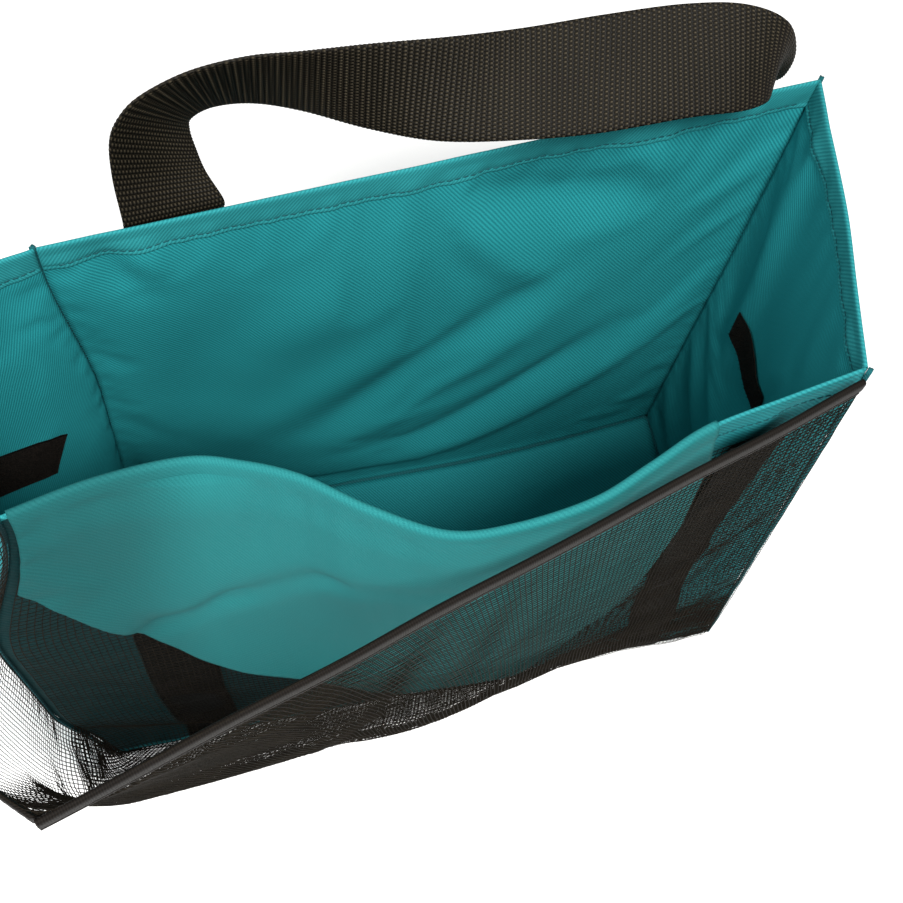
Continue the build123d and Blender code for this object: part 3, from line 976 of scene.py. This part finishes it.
# Soft folds in the flap: two ends (x and height), half width and depth outwards.
FLAP_CREASES = [
    ((-95, 282), (-103, 205), 14, 4.2), ((-130, 185), (-40, 235), 30, 3.2),
    ((-126, 163), (-108, 178), 7, -2.4), ((-108, 178), (-84, 196), 8, -2.0),
    ((-84, 196), (-52, 222), 9, -2.2), ((-52, 222), (-14, 236), 10, -1.2),
]
FLAP_COLS, FLAP_FOLD_ROWS, FLAP_HANG_ROWS = 150, 22, 84
FLAP_START, FLAP_END = 0.1 / 12, 10.1 / 12  # along the front wall
FLAP_INWARDS = -0.3  # a crease may press the flap in no further than this, to stay clear of the lining


def flap_edge_height(wall, u):
    """Height of the flap's lower edge at one place along the wall, whose x changes with height."""
    z = 150.0
    for _ in range(4):
        x = wall.surface(np.array([u]), np.array([z]))[0, 0]
        z = float(np.interp(x, *zip(*FLAP_EDGE)))
    return z


def make_flap():
    """The front flap: from inside the rim, over it, and down the outside to its wavy lower edge."""
    wall = WALLS["front"]
    u = np.linspace(FLAP_START, FLAP_END, FLAP_COLS)
    over = along(FLAP_FOLD, FLAP_FOLD_ROWS)
    drop = HEIGHT - 6.0
    lower = smoothed([min(flap_edge_height(wall, at), drop - 3) for at in u], 3)
    hang = np.linspace(0, 1, FLAP_HANG_ROWS)[1:, None]
    fall = hang * (drop - lower)
    swell = 1.1 * np.sin(np.pi * hang) * (0.6 + 0.4 * np.sin(u * 19))
    flare = 1.4 * hang**3 * (0.5 + 0.5 * np.sin(u * 31 + 1))
    hanging_out = 1.5 + 2.0 * eased(fall, 0, 22) + swell + flare
    z = np.concatenate([np.repeat(HEIGHT + over[:, 1:], FLAP_COLS, axis=1), drop - fall])
    out = np.concatenate([np.repeat(over[:, :1], FLAP_COLS, axis=1), hanging_out])
    grid_u = np.broadcast_to(u, z.shape)
    points = wall.surface(grid_u, z, out)
    extra = np.zeros(z.shape)
    for start, end, width, depth in FLAP_CREASES:
        off = off_crease(points[..., 0], points[..., 2], start, end)[1]
        extra += depth * np.exp(-((off / width) ** 2))
    extra[: len(over)] = 0
    points[..., :2] += wall.outward(grid_u) * np.maximum(extra, FLAP_INWARDS)[..., None]
    steps = np.linalg.norm(np.diff(points, axis=0), axis=2)
    run = np.concatenate([np.zeros((1, FLAP_COLS)), np.cumsum(steps, axis=0)])
    weave = np.stack([grid_u * wall.flat, HEIGHT - run], axis=-1)
    flap = grid_piece("cloth_front_flap", points, weave, FLAP_TEAL, CLOTH)
    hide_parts("front_flap")
    return flap


# ---------------------------------------------------------------- webbing pieces
def wall_web(wall, x, width, z0, z1, out, rows):
    """Edge lines of a strip of webbing that lies up a wall."""
    z = np.linspace(z0, z1, rows)
    middle = (z0 + z1) / 2
    left, right = (wall.u_at(x + s * width / 2, middle) for s in (-1, 1))
    return wall.surface(np.full(rows, left), z, out), wall.surface(np.full(rows, right), z, out)


def make_front_straps():
    for name, x in (("left", -STRAP_X), ("right", STRAP_X)):
        a, b = wall_web(WALLS["front"], x, STRAP_WEB, BASE_TOP + 1, HEIGHT - 18, 1.7, 276)
        if name == "right":
            lean = STRAP_LEAN * eased(a[:, 2], 120, 300)
            a[:, 0] += lean
            b[:, 0] += lean
        points, faces, places = slab(a, b, STRAP_T, 36, 0.06)
        # the straps take the webbing with painted shade
        piece = new_piece(f"webbing_front_{name}", points, faces, COVERED_WEBBING, places)
        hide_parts(f"front_strap_{name}")


HANDLE_OUT = 2.7  # the sewn ends lie this far outside the back panel's face
# Points of the webbing loop's outer and inner edge, from its left foot over to its right foot.
LOOP_OUTER = [
    (-104, 60, 320), (-101.5, 61, 339), (-96, 61, 351), (-87, 62, 359), (-70, 64, 365), (-50, 66, 366),
    (-32, 66, 365), (-8, 68, 362), (20, 71, 357), (48, 75, 352), (80, 77, 351), (110, 76, 352),
    (132, 72, 352), (148, 67, 346), (156, 66, 330), (157, 68, 314),
]
LOOP_INNER = [
    (-71, 64, 312), (-73, 69, 319), (-74, 73, 325), (-72.5, 75, 329), (-64, 77, 331), (-50, 77, 330),
    (-33, 73, 327), (-10, 62, 325), (14, 52, 325), (44, 47, 325), (74, 45, 325), (108, 46, 325),
    (131, 47, 323), (144, 54, 318), (140, 62, 312), (128, 68, 307),
]


def handle_edges(count):
    """Inner and outer edge of the handle's free loop, from the left end over to the right end."""
    back, feet = WALLS["back"], []
    for x in HANDLE_X:
        for side in (-1, 1):
            u = back.u_at(x + side * HANDLE_WEB / 2, HEIGHT - HANDLE_TAIL / 2)
            feet.append(back.surface(np.full(2, u), np.array([HEIGHT - 4.0, HEIGHT + 2.0]), HANDLE_OUT))
    outer = [*feet[0], *LOOP_OUTER, *feet[3][::-1]]
    inner = [*feet[1], *LOOP_INNER, *feet[2][::-1]]
    t = np.linspace(0, len(outer) - 1, count)
    return spline(inner, t), spline(outer, t)


def even_pair(a, b, count):
    """Both edge lines with their rows evenly spaced along the strip's middle."""
    run = lengths((a + b) / 2)
    return evenly(a, count, run), evenly(b, count, run)


def make_handle():
    inner, outer = even_pair(*handle_edges(1200), 400)
    points, faces, places = slab(outer, inner, HANDLE_T, 55, 0.14)
    loop = new_piece("webbing_handle_loop", points, faces, WEBBING, places, body=None)
    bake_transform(loop)
    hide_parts("handle_webbing")
    for name, x in (("left", HANDLE_X[0]), ("right", HANDLE_X[1])):
        a, b = wall_web(WALLS["back"], x, HANDLE_WEB, HEIGHT - HANDLE_TAIL, HEIGHT - 3, HANDLE_OUT, 73)
        points, faces, places = slab(a, b, HANDLE_T, 55, 0.14)
        end = new_piece(f"webbing_handle_end_{name}", points, faces, WEBBING, places)
        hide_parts(f"handle_end_{name}")


def make_handle_stitches():
    """A crossed box of stitches through each sewn end."""
    back, half = WALLS["back"], 14.0
    low = HEIGHT - HANDLE_TAIL + 6
    corners = [(-half, low), (half, low), (half, low + 2 * half), (-half, low + 2 * half)]
    runs = [*zip(corners, [*corners[1:], corners[0]]), (corners[0], corners[2]), (corners[1], corners[3])]
    parts = []
    for x in HANDLE_X:
        for (x0, z0), (x1, z1) in runs:
            z = np.linspace(z0, z1, 30)
            u = np.array([back.u_at(x + a, low + half) for a in np.linspace(x0, x1, 30)])
            line, normals = wall_line(back, u, z, HANDLE_OUT + 1.0)
            parts.append(stitches(line, normals, 2.8, 3.6, 0.8, 0.7))
    points, faces, _ = merged(parts)
    piece = new_piece("stitches_handle", points, faces, BLACK_THREAD)
    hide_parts("handle_stitching")


# ---------------------------------------------------------------- the two nets
def every_second(count):
    return np.unique([*range(0, count, 2), count - 1])


def lattice(surface, thick):
    """Crossing threads over a surface given as a grid of points."""
    high = float(np.linalg.norm(np.diff(surface, axis=0), axis=2).sum(axis=0).mean())
    wide = float(np.linalg.norm(np.diff(surface, axis=1), axis=2).sum(axis=1).mean())
    rows, cols = int(high / NET_CELL[0]), int(wide / NET_CELL[1])
    share_r, share_c = np.linspace(0, 1, rows), np.linspace(0, 1, cols)
    fine = sampled(surface, *np.meshgrid(share_r, share_c, indexing="ij"))
    normal = unit(np.cross(np.gradient(fine, axis=1), np.gradient(fine, axis=0)))
    slack = np.random.default_rng(3).normal(0, 0.05, fine.shape)
    slack[[0, -1]] = 0
    fine = fine + slack
    lift = thick * 0.22
    over, under = fine + normal * lift, fine - normal * lift
    keep_c, keep_r = every_second(cols), every_second(rows)
    parts = [thread(over[r, keep_c], normal[r, keep_c], thick, thick * 0.8) for r in range(rows)]
    parts += [thread(under[keep_r, c], normal[keep_r, c], thick, thick * 0.8) for c in range(cols)]
    return merged(parts), (wide, high)


def make_net_pouch():
    (points, faces, _), (wide, high) = lattice(POUCH, NET_THREAD)
    net = new_piece("net_pouch", points, faces, NET_YARN, body=None)
    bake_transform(net)
    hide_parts("mesh_pocket")


def make_net_hem():
    """The net's lower edge, folded up inside the pouch as a wide hem."""
    share = np.linspace(0, NET_HEM / MOUTH_TOP, 24)
    rows, cols = np.meshgrid(share, np.linspace(0, 1, NET_COLS), indexing="ij")
    layers = []
    for inside, sideways in ((1.2, 0.0), (2.3, 1.1)):
        fold = sampled(POUCH, rows, cols)
        clear = eased(fold[..., 2], 2, 14)
        fold[..., 0] += sideways * clear
        fold[..., 1] += inside * clear
        layers.append(lattice(fold, NET_THREAD)[0])
    points, faces, _ = merged(layers)
    hem = new_piece("net_pouch_hem", points, faces, NET_YARN)
    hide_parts("mesh_pocket")


def make_net_lining():
    wall = WALLS["front"]
    z = np.linspace(BASE_TOP + 1, HEIGHT - 20, 110)
    points, _ = wall_grid(wall, 110, 120, z, np.full(110, 2.75), 0.01, 0.99)
    (points, faces, _), (wide, high) = lattice(points, 0.36)
    net = new_piece("net_lining", points, faces, NET_YARN)
    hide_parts("mesh_lining")


# Section of the folded tape: across its thickness and below its fold.
TAPE_SECTION = [
    (-0.95, -9.8), (-1.15, -8.4), (-0.8, -7.6), (-1.2, -6.8), (-1.35, -4.0), (-1.3, -1.5), (-0.75, -0.25),
    (0, 0.0), (0.75, -0.25), (1.3, -1.5), (1.35, -4.0), (1.2, -6.8), (0.8, -7.6), (1.15, -8.4), (0.95, -9.8),
    (0.3, -9.9), (-0.3, -9.9),
]


def tape(start, end, sag, rows, bow=0.0, lift=0.0):
    """A run of binding tape along the pocket's mouth, with its row of stitches."""
    start, end = np.array([*start, MOUTH_TOP]), np.array([*end, MOUTH_TOP])
    t = np.linspace(0, 1, rows)
    line = start + (end - start) * t[:, None]
    line[:, 0] -= bow * np.sin(np.pi * t)
    line[:, 2] += lift * (1 - t)
    side = unit(np.cross(end - start, [0, 0, 1.0]))
    length = float(np.linalg.norm(end - start))
    drop = -sag * np.sin(np.pi * t) + 0.25 * np.sin(t * length / 9) + 0.2 * np.sin(t * length / 23 + 1)
    sway = 0.3 * np.sin(t * length / 14 + 2)
    section = along([*TAPE_SECTION, TAPE_SECTION[0]], 49)[:-1]
    ring = np.stack([
        line + side * (a + sway[:, None]) + np.array([0, 0, 1.0]) * (b + drop[:, None]) for a, b in section
    ], axis=1)
    count = ring.shape[1]
    run = np.linspace(0, length, rows)
    places = places_along(run, np.linspace(0, 22, count))
    parts = [(ring, tube_faces(rows, count), places)]
    for sign in (-1, 1):
        row = line + side * (sign * 1.05 + sway[:, None]) + np.array([0, 0, 1.0]) * (drop[:, None] - 7.6)
        parts.append(stitches(row, np.array([side * sign]), 2.4, 3.2, 0.55, 0.55))
    return merged(parts)


def make_binding():
    corner_in = (MOUTH_CORNER[0] - 1.0, MOUTH_CORNER[1] + 1.6)
    for name, start, end, sag, rows, bow, lift in (
        ("front", MOUTH_RIGHT, MOUTH_CORNER, 0.8, 320, 0.0, 2.5),
        ("left", corner_in, MOUTH_LEFT, 1.5, 90, MOUTH_BOW, 0.0),
    ):
        points, faces, places = tape(start, end, sag, rows, bow, lift)
        piece = new_piece(
            f"tape_mouth_{name}", points, faces, BINDING, places, body="pocket_mouth",
        )
        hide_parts(f"pocket_binding_{name}")


# ---------------------------------------------------------------- hook and loop patches
PATCH_ROWS, PATCH_COLS = 19, 46
HOOK, LOOP = (0.28, 0.9), (0.22, 1.6)  # half width of one's foot, and how far it sways


def patch_ground(base, front):
    """The patch's thin ground, closed all round, from its grids of back and front points."""
    count = PATCH_ROWS * PATCH_COLS
    points = np.concatenate([base.reshape(-1, 3), front.reshape(-1, 3)])
    faces = grid_faces(PATCH_ROWS, PATCH_COLS)
    faces += [tuple(i + count for i in reversed(face)) for face in faces]
    index = np.arange(count).reshape(PATCH_ROWS, PATCH_COLS)
    rim = [int(i) for i in (*index[0], *index[1:, -1], *index[-1, -2::-1], *index[-2:0:-1, 0])]
    faces += [(a, b, b + count, a + count) for a, b in zip(rim, [*rim[1:], rim[0]])]
    return points, faces, np.zeros((len(points), 2))


def make_patch(node, name, hooked):
    """A patch on a gusset: its ground, and the fuzz of hooks or loops that stands on it."""
    low, high = node_box(node)
    wall = WALLS["left" if low[0] < 0 else "right"]
    slant, lean, shift = (PATCH_SLANT, PATCH_LEAN, PATCH_SHIFT) if hooked else (0.0, 0.0, (0.0, 0.0, 0.0))
    middle = (low + high) / 2 + np.array(shift)
    run = np.linspace(-0.5, 0.5, PATCH_COLS)[None, :] * PATCH_LENGTH
    rise = np.linspace(-0.5, 0.5, PATCH_ROWS)[:, None] * PATCH_HEIGHT
    grid_z = middle[2] + run * math.sin(slant) + rise * math.cos(lean)
    grid_u = wall.u_at(middle[1] - run * math.cos(slant) + rise * math.sin(lean), middle[2])
    base = wall.surface(grid_u, grid_z, -1.9)
    inward = -np.concatenate([wall.outward(grid_u), np.zeros((*grid_u.shape, 1))], axis=-1)
    front = base + inward * 0.5
    width, reach = HOOK if hooked else LOOP
    ring = np.array([(0, width, 0), (0, -width, width), (0, 0, -width)])
    parts = [patch_ground(base, front)]
    for r in range(1, PATCH_ROWS - 1):
        for c in range(1, PATCH_COLS - 1):
            sway = np.array([random.uniform(-0.5, 0.5) for _ in range(3)])
            foot = front[r, c] + sway * 0.4
            tip = foot + inward[r, c] * random.uniform(0.7, 1.2) + sway * reach
            parts.append(([*(foot + ring), tip], [(0, 1, 3), (1, 2, 3), (2, 0, 3)], np.zeros((4, 2))))
    points, faces, _ = merged(parts)
    piece = new_piece(name, points, faces, HOOKS)
    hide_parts(node)


# ---------------------------------------------------------------- make everything
panels = make_panels()
hems = make_hems()
make_hem_stitches()
make_seams()
make_bottom_seam()
bottom = make_bottom()
flap = make_flap()
make_front_straps()
make_handle()
make_handle_stitches()
make_binding()
make_net_pouch()
make_net_hem()
make_net_lining()
make_patch("hook_patch", "tape_hook_patch", True)
make_patch("loop_patch", "tape_loop_patch", False)
